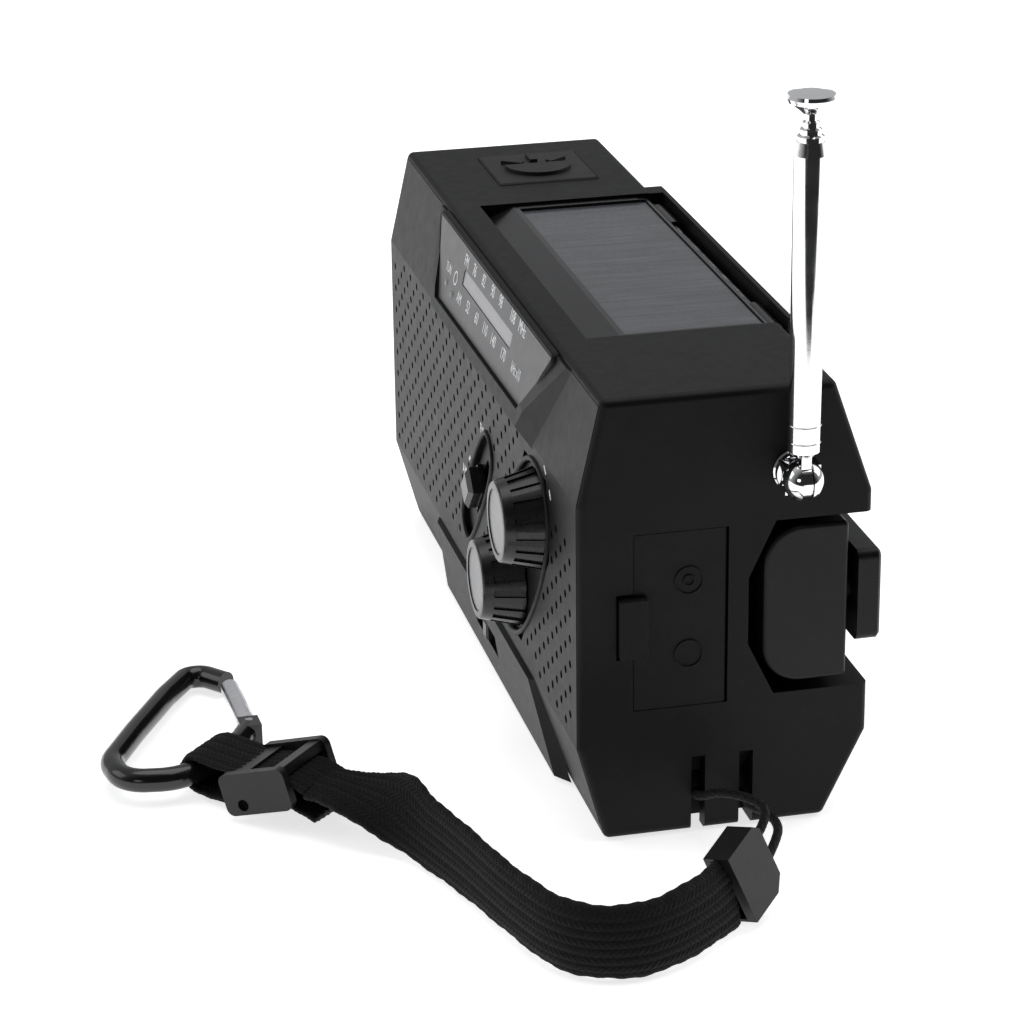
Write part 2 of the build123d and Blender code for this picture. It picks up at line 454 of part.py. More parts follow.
# ---------------------------------------------------------------- crank
hub = cyl_y(HUB_X, HUB_Z, 13.2, 23.2, 25.2)
hub = hub - box(5.4, 20, 20, 30, HUB_Z - 8.5, HUB_Z + 8.5)
for s in (-1, 1):
    z0, z1 = sorted((HUB_Z + s * 8.55, HUB_Z + s * 11.5))
    hub = hub + box(3.5, 12.0, 23.2, 28.9, z0, z1)
hub = hub + cyl_y(HUB_X, HUB_Z, 4.0, 10.0, 23.3)
hub = hub - cyl_z(HINGE_X, HINGE_Y, 1.03, HUB_Z - 15, HUB_Z + 15)
put("crank_hub", hub)
put("crank_hinge_pin", cyl_z(HINGE_X, HINGE_Y, 1.0, HUB_Z - 11.4, HUB_Z + 11.4))
arm = box(HINGE_X + 1.5, 77.4, ARM_Y0, ARM_Y1, HUB_Z - ARM_W / 2, HUB_Z + ARM_W / 2)
arm = fillet(arm.edges().filter_by(Axis.Y).sort_by(Axis.X)[-2:], 1.6)
arm = chamfer(arm.faces().sort_by(Axis.Y)[-1].edges(), 0.5)
arm = arm + cyl_z(HINGE_X, HINGE_Y, 2.2, HUB_Z - ARM_W / 2, HUB_Z + ARM_W / 2)
arm = arm - box(18, 60, ARM_Y1 - 1.0, ARM_Y1 + 1, HUB_Z - 5.2, HUB_Z + 5.2)
arm = arm - cyl_z(HINGE_X, HINGE_Y, 1.03, HUB_Z - 15, HUB_Z + 15)
arm = arm + cyl_y(GRIP_PIN_X, HUB_Z, 3.4, 21.75, ARM_Y0 + 0.1)
arm = arm + cyl_y(GRIP_PIN_X, HUB_Z, 1.5, 10.6, ARM_Y0 + 0.5)
put("crank_arm", arm)
grip = prism_x([(6.7, 25.7), (21.4, 25.7), (21.4, 53.8), (6.7, 53.8)], 62.3, 77.8)
grip_x = grip.edges().filter_by(Axis.X, tolerance=0.01).sort_by(Axis.Y)
grip = fillet(grip_x[:2], 6.8)
grip = fillet(grip.edges().filter_by(Axis.X, tolerance=0.01).sort_by(Axis.Y)[-2:], 0.9)
grip = fillet(grip.faces().sort_by(Axis.X)[-1].edges(), 0.7)
grip = grip - cyl_y(GRIP_PIN_X, HUB_Z, 1.56, 10.0, 30)
put("crank_grip", grip)


# ---------------------------------------------------------------- generator with its gear train (teeth are plain trapezoids)
def gear(cx, cz, teeth, module, y0, y1, phase, bore):
    rp = teeth * module / 2
    ra, rr = rp + module * 0.8, rp - module * 1.15
    pts = []
    for i in range(teeth):
        a = 2 * math.pi * (i + phase) / teeth
        p = 2 * math.pi / teeth
        for da, r in ((-0.32, rr), (-0.12, ra), (0.12, ra), (0.32, rr)):
            pts.append((cx + r * math.cos(a + da * p), cz + r * math.sin(a + da * p)))
    g = prism_y(pts, y0, y1)
    return g - cyl_y(cx, cz, bore, y0 - 1, y1 + 1)


M1, M2 = 1.0, 0.8
N_HUB, N_IDL_S, N_IDL_B, N_PIN = 32, 10, 32, 10
C1 = M1 * (N_HUB + N_IDL_S) / 2
C2 = M2 * (N_IDL_B + N_PIN) / 2
IDL_X, IDL_Z = HUB_X - C1, HUB_Z
PIN_X, PIN_Z = IDL_X, HUB_Z - C2 
put("hub_gear", gear(HUB_X, HUB_Z, N_HUB, M1, 12.0, 15.0, 0.0, 4.0))
idler = gear(IDL_X, IDL_Z, N_IDL_S, M1, 12.0, 15.3, 0.5, 1.0) + gear(IDL_X, IDL_Z, N_IDL_B, M2, 8.0, 11.0, 0.0, 1.0) + (cyl_y(IDL_X, IDL_Z, 2.4, 10.9, 12.1) - cyl_y(IDL_X, IDL_Z, 1.0, 10, 13))
put("idler_gear", idler)
# the pinion's teeth face up, towards the idler: phase puts a gap opposite the big gear's tooth
rotor = gear(PIN_X, PIN_Z, N_PIN, M2, 7.6, 11.4, 0.0, 0.9) + cyl_y(PIN_X, PIN_Z, 0.95, -6.0, 12.5) + cyl_y(PIN_X, PIN_Z, 6.5, -4.0, 4.0)
put("generator_rotor", rotor)
gen = cyl_y(PIN_X, PIN_Z, 10.0, -7.0, 6.6) - cyl_y(PIN_X, PIN_Z, 7.2, -4.6, 4.6) - cyl_y(PIN_X, PIN_Z, 1.05, -8, 8)
put("generator_case", gen)
gp = box(-40, 16, 18.2, 20.2, 12, 56.5) - cyl_y(HUB_X, HUB_Z, 4.1, 10, 30) + cyl_y(IDL_X, IDL_Z, 0.95, 4.0, 18.5)
put("gear_plate", gp)

# ---------------------------------------------------------------- speaker, board, battery, aerial coil
SPK_X, SPK_Z = -38.0, 37.0
basket = cyl_y(SPK_X, SPK_Z, 20.0, -22.6, -19.6) - cyl_y(SPK_X, SPK_Z, 17.6, -24, -18)
basket = basket + (cone_y(SPK_X, SPK_Z, 19.0, 8.0, -19.7, -13.0) - cone_y(SPK_X, SPK_Z, 17.6, 6.4, -19.8, -12.9))
basket = basket + (cyl_y(SPK_X, SPK_Z, 10.0, -13.0, -6.5) - cyl_y(SPK_X, SPK_Z, 6.3, -14, -7.5))
put("speaker_frame", basket)
cone = cone_y(SPK_X, SPK_Z, 17.2, 6.0, -21.2, -13.4) - cone_y(SPK_X, SPK_Z, 16.7, 5.4, -21.3, -13.6)
cone = cone + (cyl_y(SPK_X, SPK_Z, 5.6, -14.6, -9.0) - cyl_y(SPK_X, SPK_Z, 5.1, -13.9, -8))
put("speaker_cone", cone)
board = box(14, 62.0, -9.6, -8.0, 14.5, 62.0)
put("main_board", board + lamp_board)
put("ferrite_aerial", cyl_x(-12.0, 7.0, 3.0, -20.0, 45.0) + cyl_x(-12.0, 7.0, 4.0, 14.0, 30.0))
BAT_Y, BAT_Z = 4.5, 12.6
put("battery_cell", cyl_x(BAT_Y, BAT_Z, 9.0, -6.0, 59.0))
hold = box(-8.6, 61.6, BAT_Y - 10.6, BAT_Y + 10.6, 2.4, 14.0) - box(-6.9, 59.9, BAT_Y - 9.3, BAT_Y + 9.3, 3.4, 20.0)
put("battery_holder", hold)

# ---------------------------------------------------------------- torch in the far end
bezel = cyl_x(TORCH_Y, TORCH_Z, 18.8, -79.6, -74.7)
bezel = fillet(bezel.edges().sort_by(Axis.X)[0], 1.2) - cyl_x(TORCH_Y, TORCH_Z, 14.5, -81, -70) - cyl_x(TORCH_Y, TORCH_Z, 16.2, -77.4, -70)
put("torch_bezel", bezel)
put("torch_lens", cyl_x(TORCH_Y, TORCH_Z, 16.0, -77.3, -75.9))
refl_pts = [(-75.8, 14.6), (-75.8, 16.0), (-74.9, 16.0), (-68.4, 10.9), (-63.8, 4.9), (-63.4, 3.2), (-64.6, 3.2), (-69.2, 9.6)]
rf = Face(Wire.make_polygon([Vector(p[0], TORCH_Y, TORCH_Z + p[1]) for p in refl_pts], close=True))
put("torch_reflector", revolve(rf, Axis((0, TORCH_Y, TORCH_Z), (1, 0, 0)), 360))
led = cyl_x(TORCH_Y, TORCH_Z, 2.5, -66.4, -62.6)
led = fillet(led.edges().sort_by(Axis.X)[0], 1.2) + cyl_x(TORCH_Y, TORCH_Z, 8.0, -62.7, -61.2)
put("torch_led", led)

# ---------------------------------------------------------------- screws that pull the panel to the shell
screws = None
for bx, bz in ((-71.0, 65.0), (66.0, 66.5), (-71.0, 14.5), (66.0, 14.5)):
    s = cyl_y(bx, bz, 1.1, -20.9, -9.0)
    screws = s if screws is None else screws + s

# ---------------------------------------------------------------- wrist strap
# route of the flat webbing, stood on its edge on the floor, from the clip to the buckle
WEB = [(112.9, -9.4), (119.8, -16.4), (124.6, -27.6), (121.0, -38.2), (107.0, -43.4), (90.5, -47.6), (76.5, -52.2), (66.0, -58.2), (59.2, -65.6)]
Z_WEB = WEB_W / 2 + 0.1


def route(points, d, name):
    pts = [Vector(*p) for p in points]
    radii_ = []
    for a, b, c in zip(pts, pts[1:], pts[2:]):
        turn = math.radians((b - a).get_angle(c - b))
        radii_.append(0.45 * min((b - a).length, (c - b).length) / math.tan(turn / 2))
    print(name, "arc radii", [round(r, 1) for r in radii_], "in diameters", [round(r / d, 1) for r in radii_])
    line = FilletPolyline(*pts, radius=radii_)
    start = Plane(origin=pts[0], z_dir=pts[1] - pts[0])
    tube = sweep(start * Circle(d / 2), path=line)
    print(name, "length", round(line.length, 2), "volume", round(tube.volume, 1), "section x length", round(math.pi * d * d / 4 * line.length, 1))
    return tube


web = route([(p[0], p[1], Z_WEB) for p in WEB], WEB_W, "strap_webbing")
put("strap_webbing", web)

# thin cord: a loop from the clip, through the eyelet round its bar, and back to the clip
CLIP_C = Vector(109.34, -5.74, 8.17)      # middle of the clip, which leans back
CLIP_X = Vector(0.665, -0.684, -0.302)    # from the cord's end to the webbing's end
CLIP_Z = Vector(0.013, -0.393, 0.919)
CL_L, CL_T, CL_H = 9.6, 5.0, 13.0
clip_plane = Plane(origin=CLIP_C, x_dir=CLIP_X, z_dir=CLIP_Z)


def clip_pt(a, b, h):
    """a along the clip, b out of its broad face, h up it."""
    return tuple(clip_plane.from_local_coords((a, b, h)))


clip = clip_plane * Box(CL_L, CL_T, CL_H)
clip = clip - clip_plane * Pos(-CL_L / 2, 0, CL_H / 2) * Rot(0, 45, 0) * Box(2.0, 10, 2.0)
clip = clip - clip_plane * Pos(-CL_L / 2, 0, -CL_H / 2) * Rot(0, 45, 0) * Box(3.2, 10, 3.2)
clip = clip - clip_plane * Pos(CL_L / 2 - 2.5, -0.3, 0) * Box(5.1, 2.0, CL_H - 1.0)
put("strap_clip", clip)

LOOP = [clip_pt(-CL_L / 2 + 0.05, -0.6, 1.7), (100.6, 1.6, 13.4), (92.6, 0.2, 12.6), (85.4, -3.0, 10.6), (80.6, -4.9, 7.4), (73.2, -4.5, 5.2),
        (73.2, 4.1, 4.6), (80.2, 4.2, 4.4), (87.0, 4.6, 6.8), (94.4, 4.4, 8.4), (101.2, 2.6, 9.6), clip_pt(-CL_L / 2 + 0.05, 0.9, -1.7)]
loop = route(LOOP, CORD_D, "strap_cord")
put("strap_cord", loop)

# ---------------------------------------------------------------- buckle, carabiner
# the buckle leans back on its strap: x on along the strap, y across it, z out of its top
BK = Plane(origin=(52.1, -72.0, 6.2), x_dir=(-0.63, -0.712, -0.309), z_dir=(-0.205, -0.231, 0.951))
BK_L, BK_W, BK_H = 13.8, 15.4, 7.6
bk = BK * Box(BK_L, BK_W, BK_H)
bk = fillet(bk.edges().filter_by(Axis((0, 0, 0), tuple(BK.y_dir))), 1.5)
bk = bk - BK * Box(BK_L + 2, BK_W - 3.4, BK_H + 2) + BK * Pos(3.6, 0, 2.1) * Box(3.4, BK_W - 2, 2.4) + BK * Pos(-5.0, 0, 2.6) * Box(2.4, BK_W - 2, 1.8)
bk = bk + BK * Pos(-0.6, 0, -2.0) * Rot(90, 0, 0) * Cylinder(1.2, BK_W - 2)
put("strap_buckle", bk)
# the carabiner lies flat: a D of round bar with a hinged gate
BAR = 2.1
CB = Plane(origin=(24.9, -73.0, 2.25), x_dir=(0.9997, 0.026, 0), z_dir=(0, 0, 1))     # x away from the gate's root, at its pin
CPTS = [(3.6, -74.0), (-1.0, -77.6), (-1.0, -80.8), (7.6, -86.0), (22.4, -93.4), (35.0, -99.2), (43.4, -97.6), (44.8, -88.6), (40.0, -82.0), (31.4, -75.6), (25.9, -73.0)]
cp = [Vector(p[0], p[1], 2.25) for p in CPTS]
rad = []
for a, b, c in zip(cp, cp[1:], cp[2:]):
    turn = math.radians((b - a).get_angle(c - b))
    rad.append(min(8.0, 0.45 * min((b - a).length, (c - b).length) / math.tan(turn / 2)))
line = FilletPolyline(*cp, radius=rad)
hook = sweep(Plane(origin=cp[0], z_dir=cp[1] - cp[0]) * Circle(BAR), path=line)
# the slot at the gate's root
gate_axis = CB * Pos(1.6, -0.2, 0)
hook = hook + CB * Pos(2.4, -0.3, 0) * Box(4.6, 3.8, 4.0)
hook = hook - CB * Pos(0.6, 0, 0) * Box(6.0, 7.0, 2.3)
hook = hook - gate_axis * Cylinder(0.72, 10)
# its wide end rests on the strap's loop, so it slopes up from its nose
LIFT = Pos(-2, 0, 0) * Rot(0, -2.2, 0) * Pos(2, 0, 0)
put("carabiner_hook", LIFT * hook)
gate = (CB * Pos(-9.6, -0.2, 0) * Rot(0, 90, 0) * Cylinder(1.75, 18.0)) + gate_axis * Cylinder(1.7, 2.0) + CB * Pos(-0.2, -0.2, 0) * Box(3.2, 3.0, 2.0)
gate = gate & (CB * Pos(0, -0.2, 0) * Box(60, 3.3, 3.6))
gate = gate - gate_axis * Cylinder(0.72, 10)
put("carabiner_gate", LIFT * gate)
put("carabiner_rivet", LIFT * gate_axis * Cylinder(0.7, 4.0))
print("gate pin at", (LIFT * gate_axis).position, "along", (LIFT * gate_axis).z_axis.direction if hasattr(LIFT * gate_axis, "z_axis") else "")
put("housing_screws", screws)

os.makedirs("parts", exist_ok=True)
for name, shape in parts.items():
    shape = shape if isinstance(shape, Compound) else Compound(children=list(shape.solids())) if len(shape.solids()) > 1 else shape.solids()[0]
    export_step(shape, f"parts/{name}.step")
print("nodes", len(parts))
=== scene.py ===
import bpy, bmesh, math
from mathutils import Vector, Matrix


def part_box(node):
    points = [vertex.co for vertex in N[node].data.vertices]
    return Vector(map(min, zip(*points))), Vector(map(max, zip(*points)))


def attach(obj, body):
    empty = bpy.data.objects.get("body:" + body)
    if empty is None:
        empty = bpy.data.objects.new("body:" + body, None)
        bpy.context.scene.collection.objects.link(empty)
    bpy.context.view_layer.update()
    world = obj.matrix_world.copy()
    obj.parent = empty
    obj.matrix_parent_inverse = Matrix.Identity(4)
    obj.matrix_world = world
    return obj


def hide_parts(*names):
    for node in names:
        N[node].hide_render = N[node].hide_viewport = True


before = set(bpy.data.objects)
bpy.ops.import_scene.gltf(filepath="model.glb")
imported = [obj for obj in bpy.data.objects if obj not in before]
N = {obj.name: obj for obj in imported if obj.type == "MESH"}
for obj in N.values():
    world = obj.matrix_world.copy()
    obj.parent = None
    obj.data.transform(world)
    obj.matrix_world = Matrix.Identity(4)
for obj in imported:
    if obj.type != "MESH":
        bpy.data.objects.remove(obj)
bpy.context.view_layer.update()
S45 = math.sqrt(0.5)
MM = 0.001

# ------------------------------------------------------------------ camera
cam_data = bpy.data.cameras.new("camera")
cam = bpy.data.objects.new("camera", cam_data)
bpy.context.scene.collection.objects.link(cam)
cam_data.sensor_width = 36.0
cam_data.lens = 117.12
cam_data.clip_start, cam_data.clip_end = 0.05, 20
R0 = Vector((0.22745395, 0.97372038, -0.01154651))
R1 = Vector((0.35632904, -0.09425911, -0.92959391))
R2 = Vector((-0.9062529, 0.20732545, -0.36840446))
m = Matrix.Identity(4)
for r in range(3):
    m[r][0], m[r][1], m[r][2] = R0[r], -R1[r], -R2[r]
m.translation = Vector((0.56521227, -0.14757599, 0.25938522))
cam.matrix_world = m
bpy.context.scene.camera = cam


# ------------------------------------------------------------------ small helpers
def obj_from(name, verts, faces, smooth=True):
    me = bpy.data.meshes.new(name)
    me.from_pydata([tuple(v) for v in verts], [], faces)
    me.update()
    if smooth:
        me.polygons.foreach_set("use_smooth", [True] * len(me.polygons))
    o = bpy.data.objects.new(name, me)
    bpy.context.scene.collection.objects.link(o)
    return o


def nurbs(name, points, radius=0.0, res=12):
    cu = bpy.data.curves.new(name, "CURVE")
    cu.dimensions = "3D"
    cu.resolution_u = res
    cu.bevel_depth = radius
    cu.bevel_resolution = 6
    cu.use_fill_caps = True
    sp = cu.splines.new("NURBS")
    sp.points.add(len(points) - 1)
    for q, p in zip(sp.points, points):
        q.co = (p[0] * MM, p[1] * MM, p[2] * MM, 1.0)
    sp.order_u = 3
    sp.use_endpoint_u = True
    o = bpy.data.objects.new(name, cu)
    bpy.context.scene.collection.objects.link(o)
    return o


def centreline(o):
    """The points of an unbevelled curve's own line."""
    dg = bpy.context.evaluated_depsgraph_get()
    me = bpy.data.meshes.new_from_object(o.evaluated_get(dg))
    pts = [v.co.copy() for v in me.vertices]
    bpy.data.meshes.remove(me)
    return pts


def resample(pts, step):
    seg = [0.0]
    for a, b in zip(pts, pts[1:]):
        seg.append(seg[-1] + (b - a).length)
    n = max(2, round(seg[-1] / step))
    out, j = [], 0
    for i in range(n + 1):
        s = seg[-1] * i / n
        while j < len(seg) - 2 and seg[j + 1] < s:
            j += 1
        k = (s - seg[j]) / max(1e-12, seg[j + 1] - seg[j])
        out.append(pts[j].lerp(pts[j + 1], min(1.0, max(0.0, k))))
    return out, seg[-1]


# ------------------------------------------------------------------ cords
CLIP_C = (109.34, -5.74, 8.17)
CLIP_X = (0.665, -0.684, -0.302)
CLIP_Y = (0.747, 0.615, 0.252)
CLIP_Z = (0.013, -0.393, 0.919)
CL_L = 9.6


def clip_pt(a, b, h):
    return tuple(CLIP_C[i] + a * CLIP_X[i] + b * CLIP_Y[i] + h * CLIP_Z[i] for i in range(3))


WEB = [(112.9, -9.4), (119.8, -16.4), (124.6, -27.6), (121.0, -38.2), (107.0, -43.4), (90.5, -47.6), (76.5, -52.2), (66.0, -58.2), (59.2, -65.6)]
Z_WEB = 6.1
LOOP = [clip_pt(-4.75, -0.6, 1.7), (100.6, 1.6, 13.4), (92.6, 0.2, 12.6), (85.4, -3.0, 10.6), (80.6, -4.9, 7.4), (73.2, -4.5, 5.2), (73.2, 4.1, 4.6),
        (80.2, 4.2, 4.4), (87.0, 4.6, 6.8), (94.4, 4.4, 8.4), (101.2, 2.6, 9.6), clip_pt(-4.75, 0.9, -1.7)]

loop_line = nurbs("loop_line", LOOP)
loop_pts, loop_len = resample(centreline(loop_line), 0.00035)
bpy.data.objects.remove(loop_line)


def frames(pts, up=Vector((0, 0, 1))):
    out = []
    for i, p in enumerate(pts):
        t = (pts[min(i + 1, len(pts) - 1)] - pts[max(i - 1, 0)]).normalized()
        side = t.cross(up)
        side = side.normalized() if side.length > 1e-6 else Vector((1, 0, 0))
        out.append((p, t, side, side.cross(t).normalized()))
    return out


def braided(name, pts, radius, strands=8, lead=0.0042, ring=24):
    """A round braid: the surface is modelled, with strands crossing both ways."""
    fr = frames(pts)
    verts, faces, s = [], [], 0.0
    for i, (p, t, u, w) in enumerate(fr):
        if i:
            s += (p - fr[i - 1][0]).length
        for k in range(ring):
            a = 2 * math.pi * k / ring
            ph = 2 * math.pi * s / lead
            h = max(math.cos(strands / 2 * a + ph * 2), math.cos(strands / 2 * a - ph * 2))
            r = radius * (0.90 + 0.10 * h)
            verts.append(p + u * (r * math.cos(a)) + w * (r * math.sin(a)))
    for i in range(len(fr) - 1):
        for k in range(ring):
            a, b = i * ring + k, i * ring + (k + 1) % ring
            faces.append((a, b, b + ring, a + ring))
    faces.append(tuple(reversed(range(ring))))
    faces.append(tuple(range((len(fr) - 1) * ring, len(fr) * ring)))
    return obj_from(name, verts, faces)


cord = braided("eyelet_cord", loop_pts, 0.0008)
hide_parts("strap_cord")

web_line = nurbs("web_line", [(p[0], p[1], Z_WEB) for p in WEB])
web_pts, web_len = resample(centreline(web_line), 0.00022)
bpy.data.objects.remove(web_line)


def lerp_angle(table, s):
    for (s0, a0), (s1, a1) in zip(table, table[1:]):
        if s <= s1:
            k = (s - s0) / (s1 - s0)
            k = k * k * (3 - 2 * k)
            return a0 + (a1 - a0) * k
    return table[-1][1]


def webbing(name, pts, widths, half_w, half_t, across=96, stitch=0.00100, rib=0.00140, depth=0.00024, cup=None):
    """A woven band with lengthwise ribs and knit stitches as real relief. widths gives its width direction at each point."""
    verts, faces, s = [], [], 0.0
    n = len(pts)
    ring = 2 * across
    for i, p in enumerate(pts):
        t = (pts[min(i + 1, n - 1)] - pts[max(i - 1, 0)]).normalized()
        w = (widths[i] - t * widths[i].dot(t)).normalized()
        nrm = t.cross(w).normalized()
        if i:
            s += (p - pts[i - 1]).length
        c = cup(s) if cup else 0.0
        for k in range(ring):
            front = k < across
            j = k if front else ring - 1 - k
            u = -1 + 2 * (j + 0.5) / across
            edge = (1 - abs(u) ** 7) ** 0.5
            x = u * half_w * (1 + 0.012 * math.sin(s * 1900) + 0.018 * math.sin(s * 610 + 1))
            col = math.floor(x / rib + 100.5)
            r1 = abs(math.cos(math.pi * x / rib))
            ph = 0.5 * (col % 2) * stitch + (0 if front else 0.25 * stitch)
            skew = (x / rib - round(x / rib)) * (0.9 if col % 2 else -0.9) * rib
            st = 0.5 + 0.5 * math.cos(2 * math.pi * (s + ph + skew) / stitch)
            h = half_t * edge + depth * (r1 ** 0.7 * (0.45 + 0.9 * st) - 0.5) * edge
            off = c * (u * u - 0.4)
            verts.append(p + w * x + nrm * ((h if front else -h) + off))
    for i in range(n - 1):
        for k in range(ring):
            a, b = i * ring + k, i * ring + (k + 1) % ring
            faces.append((a, b, b + ring, a + ring))
    faces.append(tuple(reversed(range(ring))))
    faces.append(tuple(range((n - 1) * ring, n * ring)))
    return obj_from(name, verts, faces)


UPV = Vector((0, 0, 1))
CLIP_UP = Vector((0.013, -0.393, 0.919)).normalized()
BUCKLE_W = Vector((-0.737, 0.675, 0.0)).normalized()
wid, shifted = [], []
s = 0.0
for i, p in enumerate(web_pts):
    if i:
        s += (p - web_pts[i - 1]).length
    t = (web_pts[min(i + 1, len(web_pts) - 1)] - web_pts[max(i - 1, 0)]).normalized()
    side = t.cross(UPV).normalized()
    # the band leans back at the clip, stands nearly upright along its run and lies down into the buckle
    k0 = max(0.0, 1 - s / 0.020)
    k1 = max(0.0, min(1.0, (s - (web_len - 0.027)) / 0.026))
    k1 = k1 * k1 * (3 - 2 * k1)
    lean = math.radians(7 + 5 * math.sin(s * 95))
    base = UPV * math.cos(lean) + side * math.sin(lean)
    w = base.lerp(CLIP_UP, k0 * k0 * (3 - 2 * k0))
    w = w.lerp(-BUCKLE_W if BUCKLE_W.dot(side) < 0 else BUCKLE_W, k1)
    w.normalize()
    wid.append(w)
    lowest = 0.0060 * abs(w.z) + 0.0010 * (1 - abs(w.z))
    z = lowest + 0.0002 + 0.0062 * k1 + 0.0009 * k0
    shifted.append(Vector((p.x, p.y, max(lowest + 0.00015, z))))
band = webbing("wrist_webbing", shifted, wid, 0.0060, 0.00100, cup=lambda q: 0.0005 * math.sin(q * 60) + 0.0003)
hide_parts("strap_webbing")

# the band's end goes through the buckle, round the carabiner's bar and back through the buckle
END_W = wid[-1]
route_end = [(59.6, -65.2, 7.6), (57.0, -67.4, 8.9), (53.4, -70.8, 8.4), (48.4, -74.6, 7.1), (43.4, -78.6, 7.0), (38.2, -82.4, 7.0),
             (36.2, -84.0, 3.9), (38.2, -82.6, 0.9), (43.4, -78.8, 0.95), (48.4, -74.8, 1.9), (53.2, -70.8, 4.2), (57.0, -67.2, 4.4), (60.4, -63.9, 2.9)]
end_line = nurbs("end_line", route_end)
end_pts, end_len = resample(centreline(end_line), 0.00025)
bpy.data.objects.remove(end_line)
fold = webbing("webbing_end_loop", end_pts, [(END_W if END_W.dot(BUCKLE_W) > 0 else -END_W)] * len(end_pts), 0.0058, 0.00068)

# ------------------------------------------------------------------ materials
MAT = {}


def node_tree(name):
    mt = bpy.data.materials.new(name)
    mt.use_nodes = True
    nt = mt.node_tree
    nt.nodes.clear()
    out = nt.nodes.new("ShaderNodeOutputMaterial")
    bs = nt.nodes.new("ShaderNodeBsdfPrincipled")
    nt.links.new(bs.outputs[0], out.inputs[0])
    MAT[name] = mt
    return mt, nt, bs


def coords(nt, scale=1.0, rot=(0, 0, 0), stretch=(1, 1, 1)):
    tc = nt.nodes.new("ShaderNodeTexCoord")
    mp = nt.nodes.new("ShaderNodeMapping")
    mp.inputs["Scale"].default_value = tuple(scale * q for q in stretch)
    mp.inputs["Rotation"].default_value = rot
    nt.links.new(tc.outputs["Object"], mp.inputs[0])
    return mp.outputs[0]


def noise(nt, vec, scale, detail=3.0, rough=0.55):
    nz = nt.nodes.new("ShaderNodeTexNoise")
    nz.inputs["Scale"].default_value = scale
    nz.inputs["Detail"].default_value = detail
    nz.inputs["Roughness"].default_value = rough
    nt.links.new(vec, nz.inputs["Vector"])
    return nz.outputs["Fac"]


def ramp(nt, fac, stops):
    cr = nt.nodes.new("ShaderNodeValToRGB")
    el = cr.color_ramp.elements
    while len(el) < len(stops):
        el.new(0.5)
    for e, (pos, col) in zip(el, stops):
        e.position = pos
        e.color = (*col, 1.0) if len(col) == 3 else col
    nt.links.new(fac, cr.inputs[0])
    return cr.outputs[0]


def remap(nt, fac, lo, hi, a=0.0, b=1.0):
    mr = nt.nodes.new("ShaderNodeMapRange")
    mr.inputs["From Min"].default_value, mr.inputs["From Max"].default_value = a, b
    mr.inputs["To Min"].default_value, mr.inputs["To Max"].default_value = lo, hi
    nt.links.new(fac, mr.inputs[0])
    return mr.outputs[0]


def mixc(nt, fac, a, b):
    mx = nt.nodes.new("ShaderNodeMix")
    mx.data_type = "RGBA"
    if hasattr(fac, "links"):
        nt.links.new(fac, mx.inputs[0])
    else:
        mx.inputs[0].default_value = fac
    for i, c in ((6, a), (7, b)):
        if hasattr(c, "links"):
            nt.links.new(c, mx.inputs[i])
        else:
            mx.inputs[i].default_value = (*c, 1.0)
    return mx.outputs[2]


def bump(nt, bs, height, strength, distance, prev=None):
    bp = nt.nodes.new("ShaderNodeBump")
    bp.inputs["Strength"].default_value = strength
    bp.inputs["Distance"].default_value = distance
    nt.links.new(height, bp.inputs["Height"])
    if prev is not None:
        nt.links.new(prev, bp.inputs["Normal"])
    nt.links.new(bp.outputs[0], bs.inputs["Normal"])
    return bp.outputs[0]


def add(nt, a, b, op="ADD"):
    mth = nt.nodes.new("ShaderNodeMath")
    mth.operation = op
    for i, q in enumerate((a, b)):
        if hasattr(q, "links"):
            nt.links.new(q, mth.inputs[i])
        else:
            mth.inputs[i].default_value = q
    return mth.outputs[0]


def plastic(name, col, rough=0.5, grain=5200, grain_bump=0.25, spread=0.25, spec=0.5, wear=0.5, coat=0.0, coat_rough=0.1):
    """Moulded plastic: faint colour drift, fine moulded grain, rubbed patches and dust specks."""
    mt, nt, bs = node_tree(name)
    v = coords(nt)
    big = noise(nt, v, 45, 4)
    fine = noise(nt, v, grain, 2, 0.6)
    mid = noise(nt, v, 420, 4, 0.6)
    dark = tuple(q * (1 - spread) for q in col)
    light = tuple(min(1, q * (1 + spread) + 0.0015) for q in col)
    base = mixc(nt, remap(nt, big, 0, 1, 0.35, 0.65), dark, light)
    rub = ramp(nt, mid, [(0.60, (0, 0, 0)), (0.80, (1, 1, 1))])
    rubbed = add(nt, rub, wear * 0.35, "MULTIPLY")
    base2 = mixc(nt, rubbed, base, tuple(min(1, q * 1.5 + 0.006) for q in col))
    vor = nt.nodes.new("ShaderNodeTexVoronoi")
    vor.inputs["Scale"].default_value = 520
    nt.links.new(v, vor.inputs["Vector"])
    speck = ramp(nt, vor.outputs["Distance"], [(0.0, (1, 1, 1)), (0.045, (0, 0, 0))])
    base3 = mixc(nt, add(nt, speck, 0.10 * wear, "MULTIPLY"), base2, (0.35, 0.35, 0.36))
    nt.links.new(base3, bs.inputs["Base Color"])
    rr = add(nt, remap(nt, mid, rough - 0.025, rough + 0.035, 0.3, 0.7), add(nt, fine, 0.06, "MULTIPLY"))
    nt.links.new(rr, bs.inputs["Roughness"])
    bs.inputs["Specular IOR Level"].default_value = spec
    if coat:
        bs.inputs["Coat Weight"].default_value = coat
        bs.inputs["Coat Roughness"].default_value = coat_rough
    bump(nt, bs, add(nt, fine, add(nt, mid, 0.10, "MULTIPLY")), grain_bump, 0.00012)
    return mt


